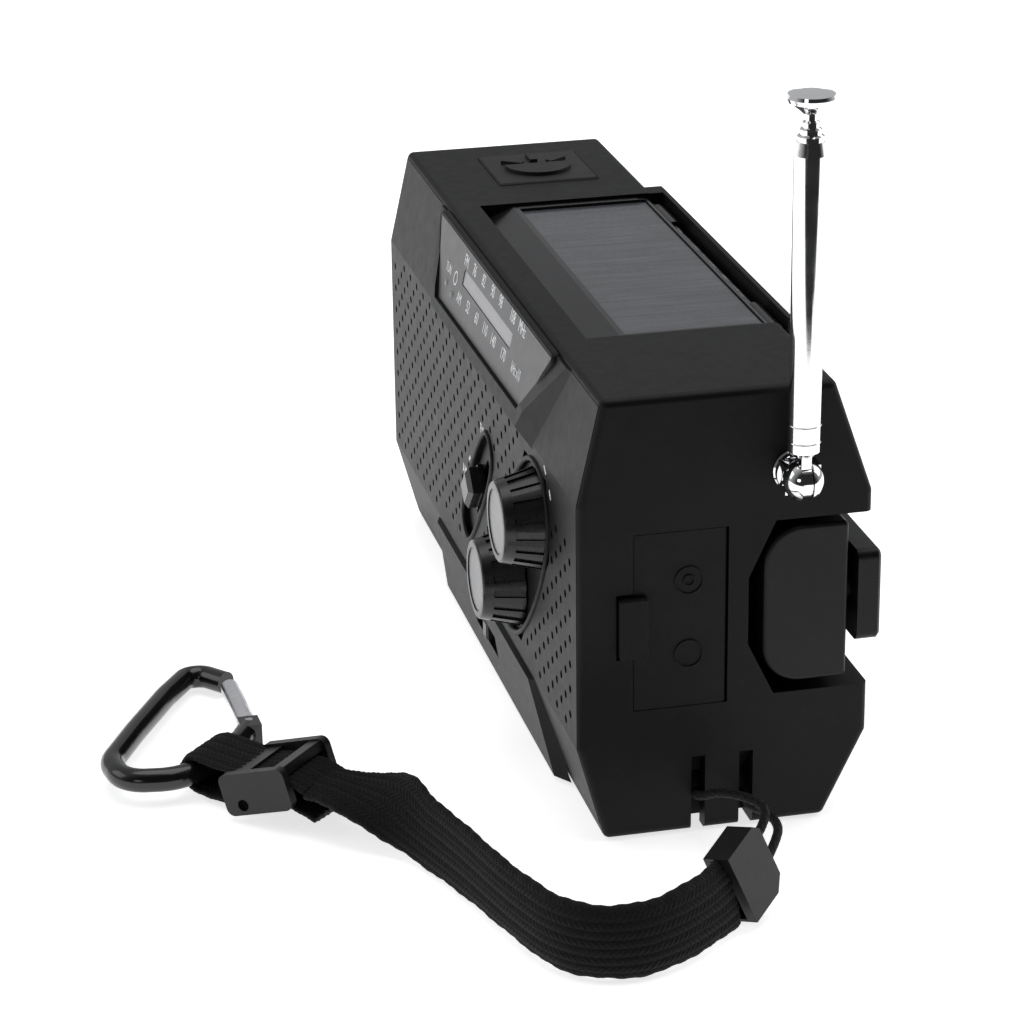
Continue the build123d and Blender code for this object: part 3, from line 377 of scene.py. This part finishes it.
def metal(name, col, rough=0.08, brushed=0.0, axis=(1, 1, 1), spread=0.03):
    mt, nt, bs = node_tree(name)
    v = coords(nt, 1.0, (0, 0, 0), axis)
    mid = noise(nt, v, 260, 4, 0.6)
    fine = noise(nt, v, 2600, 3, 0.6)
    base = mixc(nt, remap(nt, mid, 0, 1, 0.3, 0.7), tuple(q * (1 - spread) for q in col), tuple(min(1, q * (1 + spread)) for q in col))
    nt.links.new(base, bs.inputs["Base Color"])
    bs.inputs["Metallic"].default_value = 1.0
    nt.links.new(add(nt, remap(nt, mid, rough * 0.7, rough * 1.5, 0.3, 0.7), add(nt, fine, rough * 0.4, "MULTIPLY")), bs.inputs["Roughness"])
    bump(nt, bs, fine, 0.05 + brushed, 0.00003)
    return mt


plastic("m_shell", (0.0034, 0.0034, 0.0037), 0.45, 5200, 0.20, 0.2, 0.17, 0.35)
# the front panel is the shell's black plastic set lighter (0.0050 against 0.0034): painted light for the front face,
# which the lamps light more strongly
plastic("m_panel_painted_light", (0.0050, 0.0050, 0.0053), 0.44, 6200, 0.25, 0.2, 0.17, 0.4)
plastic("m_gloss", (0.006, 0.006, 0.0065), 0.20, 3000, 0.05, 0.2, 0.5, 0.35)
plastic("m_knob", (0.008, 0.008, 0.0085), 0.24, 3000, 0.08, 0.2, 0.5, 0.4)
plastic("m_lid", (0.0060, 0.0060, 0.0066), 0.19, 3800, 0.05, 0.2, 0.36, 0.4)
plastic("m_button", (0.007, 0.007, 0.0076), 0.55, 4800, 0.30, 0.2, 0.4, 0.6)
plastic("m_door", (0.0024, 0.0024, 0.0026), 0.56, 4800, 0.32, 0.2, 0.22, 0.4)
plastic("m_crank", (0.0046, 0.0046, 0.0050), 0.38, 4200, 0.18, 0.2, 0.24, 0.4)
plastic("m_strap_plastic", (0.0110, 0.0110, 0.0118), 0.36, 3600, 0.14, 0.2, 0.36, 0.5)
plastic("m_inner", (0.012, 0.012, 0.012), 0.6, 2600, 0.2, 0.2, 0.4, 0.2)
plastic("m_cream", (0.62, 0.61, 0.58), 0.4, 2600, 0.08, 0.05, 0.5, 0.1)
plastic("m_nylon", (0.66, 0.64, 0.57), 0.42, 2600, 0.10, 0.05, 0.5, 0.1)
plastic("m_board", (0.02, 0.12, 0.05), 0.35, 1400, 0.10, 0.2, 0.5, 0.1)
plastic("m_wrap", (0.03, 0.12, 0.34), 0.25, 1800, 0.05, 0.1, 0.5, 0.1)
plastic("m_dial", (0.088, 0.088, 0.092), 0.42, 5200, 0.12, 0.06, 0.5, 0.2)
plastic("m_slot", (0.30, 0.30, 0.31), 0.32, 3600, 0.06, 0.05, 0.5, 0.1)
plastic("m_cap", (0.26, 0.26, 0.27), 0.34, 5200, 0.15, 0.06, 0.6, 0.2)
plastic("m_print", (0.88, 0.89, 0.90), 0.5, 5200, 0.05, 0.04, 0.4, 0.1)
plastic("m_carabiner", (0.006, 0.006, 0.0065), 0.13, 1600, 0.03, 0.15, 0.6, 0.5)
# near-black matte plastic for the eyelet's flat disc: painted shade for the hole's dark inside
plastic("m_eyelet_painted_shade", (0.0009, 0.0009, 0.0010), 0.85, 3600, 0.1, 0.2, 0.03, 0.0)
metal("m_chrome", (0.88, 0.88, 0.89), 0.06)
metal("m_steel", (0.56, 0.56, 0.57), 0.26, 0.1)
metal("m_alu", (0.74, 0.74, 0.76), 0.24, 0.15, (1, 1, 1))
metal("m_iron", (0.30, 0.30, 0.31), 0.38, 0.2)

# clear plastic
mt, nt, bs = node_tree("m_clear")
bs.inputs["Base Color"].default_value = (0.9, 0.92, 0.93, 1)
bs.inputs["Transmission Weight"].default_value = 1.0
bs.inputs["IOR"].default_value = 1.49
cv = coords(nt)
nt.links.new(remap(nt, noise(nt, cv, 600, 3), 0.03, 0.10, 0.3, 0.7), bs.inputs["Roughness"])
bump(nt, bs, noise(nt, cv, 240, 2), 0.03, 0.0001)

# knitted webbing and cord
for nm, col, sc in (("m_webbing", (0.0042, 0.0042, 0.0045), 2600), ("m_cord", (0.0050, 0.0050, 0.0053), 4200)):
    mt, nt, bs = node_tree(nm)
    cv = coords(nt)
    yarn = noise(nt, cv, sc, 4, 0.7)
    fuzz = noise(nt, cv, sc * 3, 2, 0.7)
    soil = noise(nt, cv, 60, 3)
    base = mixc(nt, remap(nt, yarn, 0, 1, 0.35, 0.68), tuple(q * 0.45 for q in col), tuple(q * 2.3 for q in col))
    base = mixc(nt, add(nt, ramp(nt, soil, [(0.5, (0, 0, 0)), (0.8, (1, 1, 1))]), 0.10, "MULTIPLY"), base, (0.016, 0.0155, 0.015))
    nt.links.new(base, bs.inputs["Base Color"])
    nt.links.new(remap(nt, fuzz, 0.62, 0.9), bs.inputs["Roughness"])
    bs.inputs["Specular IOR Level"].default_value = 0.18
    bs.inputs["Sheen Weight"].default_value = 0.05
    bs.inputs["Sheen Roughness"].default_value = 0.45
    bump(nt, bs, add(nt, yarn, add(nt, fuzz, 0.5, "MULTIPLY")), 0.6, 0.00018)

# solar cell: dark laminate with fine lines across and faint lighter streaks along them
mt, nt, bs = node_tree("m_solar")
cv = coords(nt)
sp = nt.nodes.new("ShaderNodeSeparateXYZ")
nt.links.new(cv, sp.inputs[0])
fx = add(nt, add(nt, sp.outputs["X"], 1 / 0.0021, "MULTIPLY"), 1.0, "PINGPONG")
line = ramp(nt, fx, [(0.0, (1, 1, 1)), (0.16, (0, 0, 0))])
streak = noise(nt, coords(nt, 1.0, (0, 0, 0), (5.0, 0.35, 1.0)), 160, 3)
cells = mixc(nt, remap(nt, noise(nt, cv, 90, 3), 0, 1, 0.3, 0.7), (0.046, 0.047, 0.054), (0.066, 0.068, 0.078))
cells = mixc(nt, add(nt, line, 0.45, "MULTIPLY"), cells, (0.020, 0.021, 0.026))
cells = mixc(nt, add(nt, remap(nt, streak, 0, 1, 0.45, 0.7), 0.45, "MULTIPLY"), cells, (0.11, 0.115, 0.125))
nt.links.new(cells, bs.inputs["Base Color"])
nt.links.new(remap(nt, noise(nt, cv, 900, 3), 0.16, 0.30, 0.3, 0.7), bs.inputs["Roughness"])
bs.inputs["Specular IOR Level"].default_value = 0.5
bump(nt, bs, add(nt, line, noise(nt, cv, 700, 3), "ADD"), 0.10, 0.00008)

USE = {
    "m_shell": ["main_shell"], "m_panel_painted_light": ["front_panel"], "m_dial": ["dial_plate"], "m_slot": ["dial_lens"], "m_cream": ["dial_pointer", "reading_lamp_diffuser", "torch_led"],
    "m_knob": ["volume_knob", "tuning_knob", "band_slider", "mode_slider", "torch_bezel"], "m_cap": ["volume_knob_cap", "tuning_knob_cap"],
    "m_inner": ["volume_pot", "tuning_capacitor", "band_switch", "lamp_switch", "generator_case", "gear_plate", "battery_holder", "speaker_cone", "ferrite_aerial"],
    "m_steel": ["volume_pot_shaft", "tuning_capacitor_shaft", "lid_hinge_pin", "crank_hinge_pin", "usb_socket", "charge_socket", "housing_screws", "carabiner_rivet"],
    "m_button": ["lamp_button"], "m_lid": ["solar_lid"], "m_solar": ["solar_cell"], "m_board": ["main_board"], "m_door": ["port_door"] + (["base_pads"] if "base_pads" in N else []),
    "m_chrome": ["antenna_mount", "antenna_knuckle", "antenna_tube_1", "antenna_tube_2", "antenna_tube_3", "antenna_tube_4", "antenna_tube_5", "torch_reflector"],
    "m_crank": ["crank_hub", "crank_arm", "crank_grip"], "m_nylon": ["hub_gear", "idler_gear"], "m_iron": ["generator_rotor", "speaker_frame"], "m_wrap": ["battery_cell"],
    "m_clear": ["torch_lens"], "m_strap_plastic": ["strap_clip", "strap_buckle"], "m_carabiner": ["carabiner_hook"], "m_alu": ["carabiner_gate"],
}


def paint(o, name):
    o.data.materials.clear()
    o.data.materials.append(MAT[name])


for mname, names in USE.items():
    for q in names:
        o = N[q]
        for i in range(len(o.material_slots)):
            o.material_slots[i].material = MAT[mname]
        if not o.material_slots:
            o.data.materials.append(MAT[mname])
paint(band, "m_webbing"); paint(fold, "m_webbing"); paint(cord, "m_cord")

for o in (band, fold, cord):
    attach(o, "housing")

# ------------------------------------------------------------------ printed scale and marks
SLOPE_O, SLOPE_N = Vector((0, -25.3, 60.6)), Vector((0, -18.2, 4.1)).normalized()
SLOPE_Y = SLOPE_N.cross(Vector((1, 0, 0)))


def plane_matrix(o, x, y, n):
    mm = Matrix.Identity(4)
    for r in range(3):
        mm[r][0], mm[r][1], mm[r][2] = x[r], y[r], n[r]
    mm.translation = o * MM
    return mm


def text(name, body, pos, size, mat4, extrude=0.00003, spacing=1.0, stretch=1.0):
    cu = bpy.data.curves.new(name, "FONT")
    cu.body = body
    cu.size = size * MM
    cu.align_x, cu.align_y = "CENTER", "CENTER"
    cu.extrude = extrude
    cu.space_character = spacing
    cu.resolution_u = 3
    o = bpy.data.objects.new(name, cu)
    bpy.context.scene.collection.objects.link(o)
    bpy.context.view_layer.update()
    dg = bpy.context.evaluated_depsgraph_get()
    me = bpy.data.meshes.new_from_object(o.evaluated_get(dg))
    bpy.data.objects.remove(o)
    me.transform(mat4 @ Matrix.Translation((pos[0] * MM, pos[1] * MM, 0)) @ Matrix.Diagonal((stretch, 1, 1, 1)))
    return me


def join(name, meshes, mat, body="housing"):
    bm = bmesh.new()
    for me in meshes:
        bm.from_mesh(me)
        bpy.data.meshes.remove(me)
    me = bpy.data.meshes.new(name)
    bm.to_mesh(me)
    bm.free()
    o = bpy.data.objects.new(name, me)
    bpy.context.scene.collection.objects.link(o)
    paint(o, mat)
    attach(o, body)
    return o


def slab(pts, mat4, h0=0.0, h1=0.00006):
    """A flat raised shape from a local outline in mm."""
    me = bpy.data.meshes.new("slab")
    n = len(pts)
    v = [(p[0] * MM, p[1] * MM, h0) for p in pts] + [(p[0] * MM, p[1] * MM, h1) for p in pts]
    f = [tuple(range(n, 2 * n)), tuple(reversed(range(n)))] + [(i, (i + 1) % n, n + (i + 1) % n, n + i) for i in range(n)]
    me.from_pydata(v, [], f)
    me.transform(mat4)
    return me


def bar(a, b, w):
    d = (Vector(b) - Vector(a)).normalized()
    q = Vector((-d.y, d.x)) * (w / 2)
    a, b = Vector(a), Vector(b)
    return [tuple(a - q), tuple(b - q), tuple(b + q), tuple(a + q)]


def disc(c, r, n=24):
    return [(c[0] + r * math.cos(2 * math.pi * i / n), c[1] + r * math.sin(2 * math.pi * i / n)) for i in range(n)]


DIAL = plane_matrix(SLOPE_O + SLOPE_N * 1.255, Vector((1, 0, 0)), SLOPE_Y, SLOPE_N)
FRONT = plane_matrix(Vector((0, -25.3, 0)), Vector((1, 0, 0)), Vector((0, 0, 1)), Vector((0, -1, 0)))
scale = []
for body, x, y in (("FM", -12.8, 14.6), ("76", -6.2, 14.8), ("82", 1.1, 15.1), ("90", 8.3, 15.3), ("98", 14.6, 15.4), ("108", 23.8, 15.5), ("MHz", 30.9, 15.5)):
    scale.append(text("t", body, (x, y), 3.2, DIAL, stretch=0.80))
for body, x, y in (("AM", -12.9, 7.3), ("52", -5.8, 7.8), ("60", 1.4, 8.0), ("110", 8.2, 8.1), ("140", 14.8, 8.1), ("170", 22.7, 8.1)):
    scale.append(text("t", body, (x, y), 3.1, DIAL, stretch=0.80))
scale.append(text("t", "kHz x10", (32.4, 8.2), 2.9, DIAL, stretch=0.66))
scale.append(text("t", "TUN", (-24.1, 9.9), 2.4, DIAL, stretch=0.85))
for k in range(12):
    a0, a1 = 2 * math.pi * k / 12, 2 * math.pi * (k + 1) / 12
    scale.append(slab(bar((-18 + 1.25 * math.cos(a0), 9.8 + 1.25 * math.sin(a0)), (-18 + 1.25 * math.cos(a1), 9.8 + 1.25 * math.sin(a1)), 0.30), DIAL))
join("dial_print", scale, "m_print")
marks = [text("t", "FM", (7.0, 49.1), 2.9, FRONT, stretch=0.85), text("t", "AM", (-8.5, 35.6), 2.9, FRONT, stretch=0.85)]
for a, b in (((1.9, 44.2), (3.2, 45.1)), ((-4.5, 39.2), (-3.3, 40.2)), ((55.4, 60.0), (56.7, 58.9)), ((59.0, 56.9), (60.0, 55.5))):
    marks.append(slab(bar(a, b, 0.55), FRONT))
join("switch_print", marks, "m_print")

# two small lamps in the dial plate
for nm, c, col in (("tune_lamp", (-23.8, 7.2), (0.30, 0.29, 0.29)), ("charge_lamp", (-18.6, 6.4), (0.27, 0.28, 0.27))):
    mt, nt, bs = node_tree("m_" + nm)
    cv = coords(nt)
    nt.links.new(mixc(nt, remap(nt, noise(nt, cv, 900, 3), 0, 1, 0.3, 0.7), tuple(q * 0.7 for q in col), tuple(min(1, q * 1.3 + 0.02) for q in col)), bs.inputs["Base Color"])
    nt.links.new(remap(nt, noise(nt, cv, 1500, 2), 0.15, 0.3, 0.3, 0.7), bs.inputs["Roughness"])
    bump(nt, bs, noise(nt, cv, 1200, 2), 0.05, 0.00005)
    verts, faces = [], []
    for j in range(5):
        el = j / 4 * math.pi / 2
        for k in range(20):
            az = 2 * math.pi * k / 20
            verts.append(DIAL @ Vector(((c[0] + 0.7 * math.cos(el) * math.cos(az)) * MM, (c[1] + 0.7 * math.cos(el) * math.sin(az)) * MM, 0.35 * math.sin(el) * MM)))
    for j in range(4):
        for k in range(20):
            faces.append((j * 20 + k, j * 20 + (k + 1) % 20, (j + 1) * 20 + (k + 1) % 20, (j + 1) * 20 + k))
    o = obj_from(nm, verts, faces)
    paint(o, "m_" + nm)
    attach(o, "housing")


# ------------------------------------------------------------------ bright rings
def ring(name, centre, axis, major, minor, body, mat="m_chrome", slot="chrome", n=72, q=14):
    axis = Vector(axis).normalized()
    u = axis.orthogonal().normalized()
    w = axis.cross(u)
    centre = Vector(centre)
    verts, faces = [], []
    for i in range(n):
        a = 2 * math.pi * i / n
        rad = u * math.cos(a) + w * math.sin(a)
        for j in range(q):
            b = 2 * math.pi * j / q
            verts.append(centre + rad * (major + minor * math.cos(b)) + axis * (minor * math.sin(b)))
    for i in range(n):
        for j in range(q):
            faces.append((i * q + j, ((i + 1) % n) * q + j, ((i + 1) % n) * q + (j + 1) % q, i * q + (j + 1) % q))
    o = obj_from(name, verts, faces)
    paint(o, mat)
    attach(o, body)
    return o


for knob, body in (("volume_knob_cap", "volume"), ("tuning_knob_cap", "tuning")):
    lo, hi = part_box(knob)
    r = (hi[0] - lo[0]) / 2
    ring(knob + "_rim", ((lo[0] + hi[0]) / 2, lo[1] + 0.0003, (lo[2] + hi[2]) / 2), (0, 1, 0), r + 0.00005, 0.00030, body)

for i, z in enumerate((0.07085, 0.07375)):
    ring("antenna_crimp_%d" % (i + 1), (0.083, 0.0114, z), (0, 0, 1), 0.00262, 0.00018, "antenna_1")
# shallow moulded signs on the port door
for i, (z, r) in enumerate(((0.0462, 0.0024), (0.0462, 0.0009), (0.0330, 0.0024))):
    ring("door_sign_%d" % (i + 1), (0.07803, -0.0063, z), (1, 0, 0), r, 0.00016, "door", "m_door", "door_rubber", 48, 10)


def bead(name, outline, radius, body, mat, plane_y=-25.32):
    """A round moulded bead along a closed outline on the front panel."""
    pts = [Vector(q) for q in outline]
    for _ in range(3):
        pts = [q for i in range(len(pts)) for q in (pts[i].lerp(pts[(i + 1) % len(pts)], 0.25), pts[i].lerp(pts[(i + 1) % len(pts)], 0.75))]
    n, q = len(pts), 12
    verts, faces = [], []
    for i, p in enumerate(pts):
        t = (pts[(i + 1) % n] - pts[i - 1]).normalized()
        nx, nz = -t.y, t.x
        for j in range(q):
            a = 2 * math.pi * j / q
            verts.append(((p.x + nx * radius * math.cos(a)) * MM, (plane_y + radius * math.sin(a)) * MM, (p.y + nz * radius * math.cos(a)) * MM))
    for i in range(n):
        for j in range(q):
            faces.append((i * q + j, ((i + 1) % n) * q + j, ((i + 1) % n) * q + (j + 1) % q, i * q + (j + 1) % q))
    o = obj_from(name, verts, faces)
    paint(o, mat)
    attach(o, body)
    return o


bead("knob_well_bead", [(40.6, 58.2), (57.0, 58.2), (59.0, 43.6), (36.9, 19.2), (21.0, 19.2), (19.2, 34.0)], 0.5, "housing", "m_panel_painted_light")
bead("switch_well_bead", [(8.2, 50.0), (14.0, 50.0), (16.8, 44.6), (-3.0, 22.8), (-8.6, 22.8), (-11.2, 28.8)], 0.5, "housing", "m_panel_painted_light")

# the dark raised lip round the dial
lip = [Vector(q) for q in ((-38.2, 17.35), (-28.0, 2.55), (40.0, 3.1), (52.0, 17.35))]
pts = []
for i, p in enumerate(lip):
    a, b = lip[i - 1], lip[(i + 1) % 4]
    p0, p1 = p + (a - p).normalized() * 2.2, p + (b - p).normalized() * 2.2
    for k in range(6):
        u = k / 5
        pts.append(p0 * (1 - u) ** 2 + p * (2 * u * (1 - u)) + p1 * u ** 2)
n, q = len(pts), 12
verts, faces = [], []
for i, p in enumerate(pts):
    t = (pts[(i + 1) % n] - pts[i - 1]).normalized()
    for j in range(q):
        a = 2 * math.pi * j / q
        verts.append(DIAL @ Vector(((p.x - t.y * 0.62 * math.cos(a)) * MM, (p.y + t.x * 0.62 * math.cos(a)) * MM, (-0.75 + 0.85 * math.sin(a)) * MM)))
for i in range(n):
    for j in range(q):
        faces.append((i * q + j, ((i + 1) % n) * q + j, ((i + 1) % n) * q + (j + 1) % q, i * q + (j + 1) % q))
lip_piece = obj_from("dial_lip", verts, faces)
paint(lip_piece, "m_door")
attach(lip_piece, "housing")

# a small eyelet ring on the buckle's side plate; its middle is a flat, matte, near-black disc lying on the plate,
# painted shade standing in for the dark inside of the hole
BX, BZ = Vector((-0.63, -0.712, -0.309)).normalized(), Vector((-0.205, -0.231, 0.951)).normalized()
BW = BZ.cross(BX).normalized()
if BW.x < 0:
    BW = -BW
bc = Vector((52.1, -72.0, 6.2)) + BW * 7.72 + BX * 3.2 - BZ * 2.0
verts, faces = [], []
for rr, hh in ((1.05, 0.0), (0.92, 0.07), (0.74, 0.05), (0.70, -0.02), (0.0, -0.02)):
    for k in range(28):
        a = 2 * math.pi * k / 28
        verts.append((bc + BX * (rr * math.cos(a)) + BZ * (rr * math.sin(a)) + BW * (hh + 0.03)) * MM)
for j in range(3):
    for k in range(28):
        faces.append((j * 28 + k, j * 28 + (k + 1) % 28, (j + 1) * 28 + (k + 1) % 28, (j + 1) * 28 + k))
faces.append(tuple(range(84, 112)))
eyelet_shade_disc = obj_from("buckle_eyelet_painted_shade", verts[:112], faces)
paint(eyelet_shade_disc, "m_eyelet_painted_shade")
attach(eyelet_shade_disc, "housing")

# ------------------------------------------------------------------ light and floor
fme = bpy.data.meshes.new("floor")
fme.from_pydata([(-4, -4, -0.0003), (0.34, -4, -0.0003), (0.34, 4, -0.0003), (-4, 4, -0.0003)], [], [(0, 1, 2, 3)])
floor = bpy.data.objects.new("floor", fme)
bpy.context.scene.collection.objects.link(floor)
mt, nt, bs = node_tree("m_floor")
cv = coords(nt)
nt.links.new(mixc(nt, remap(nt, noise(nt, cv, 8, 2), 0, 1, 0.3, 0.7), (0.93, 0.93, 0.93), (0.95, 0.95, 0.95)), bs.inputs["Base Color"])
bs.inputs["Roughness"].default_value = 0.9
bs.inputs["Specular IOR Level"].default_value = 0.1
bs.inputs["Emission Color"].default_value = (1, 1, 1, 1)
bs.inputs["Emission Strength"].default_value = 0.72
floor.data.materials.append(mt)


def area(name, pos, look, size, power, col=(1, 1, 1), size_y=None):
    la = bpy.data.lights.new(name, "AREA")
    la.energy = power
    la.color = col
    la.size = size
    if size_y:
        la.shape = "RECTANGLE"
        la.size_y = size_y
    o = bpy.data.objects.new(name, la)
    bpy.context.scene.collection.objects.link(o)
    o.location = pos
    d = Vector(look) - Vector(pos)
    o.rotation_euler = d.to_track_quat("-Z", "Y").to_euler()
    return o


L = [area("top", (-0.15, 0.10, 1.15), (0.0, -0.02, 0.03), 1.1, 5.0, size_y=0.9),
     area("left", (-0.25, -1.05, 0.60), (0.0, -0.02, 0.03), 0.8, 1.9, size_y=0.6),
     area("right", (-0.10, 1.00, 0.55), (0.05, 0.0, 0.03), 0.7, 2.6, size_y=0.5),
     area("low_front", (0.95, -0.75, 0.40), (0.06, -0.05, 0.02), 0.35, 0.55, size_y=0.30)]

world = bpy.data.worlds.new("world")
bpy.context.scene.world = world
world.use_nodes = True
wn = world.node_tree
wn.nodes.clear()
wo = wn.nodes.new("ShaderNodeOutputWorld")
mixw = wn.nodes.new("ShaderNodeMixShader")
lp = wn.nodes.new("ShaderNodeLightPath")
b0 = wn.nodes.new("ShaderNodeBackground")
b1 = wn.nodes.new("ShaderNodeBackground")
wtc = wn.nodes.new("ShaderNodeTexCoord")
wsp = wn.nodes.new("ShaderNodeSeparateXYZ")
wmr = wn.nodes.new("ShaderNodeMapRange")
wmr.inputs["From Min"].default_value, wmr.inputs["From Max"].default_value = -0.15, 0.55
wmr.inputs["To Min"].default_value, wmr.inputs["To Max"].default_value = 0.46, 0.022
wn.links.new(wtc.outputs["Generated"], wsp.inputs[0])
wn.links.new(wsp.outputs["X"], wmr.inputs[0])
wn.links.new(wmr.outputs[0], b0.inputs[1])
b0.inputs[0].default_value = (0.97, 0.98, 1.0, 1)
b1.inputs[0].default_value = (1, 1, 1, 1)
b1.inputs[1].default_value = 1.0
wn.links.new(lp.outputs["Is Camera Ray"], mixw.inputs[0])
wn.links.new(b0.outputs[0], mixw.inputs[1])
wn.links.new(b1.outputs[0], mixw.inputs[2])
wn.links.new(mixw.outputs[0], wo.inputs[0])
bpy.context.scene.view_settings.view_transform = "Standard"
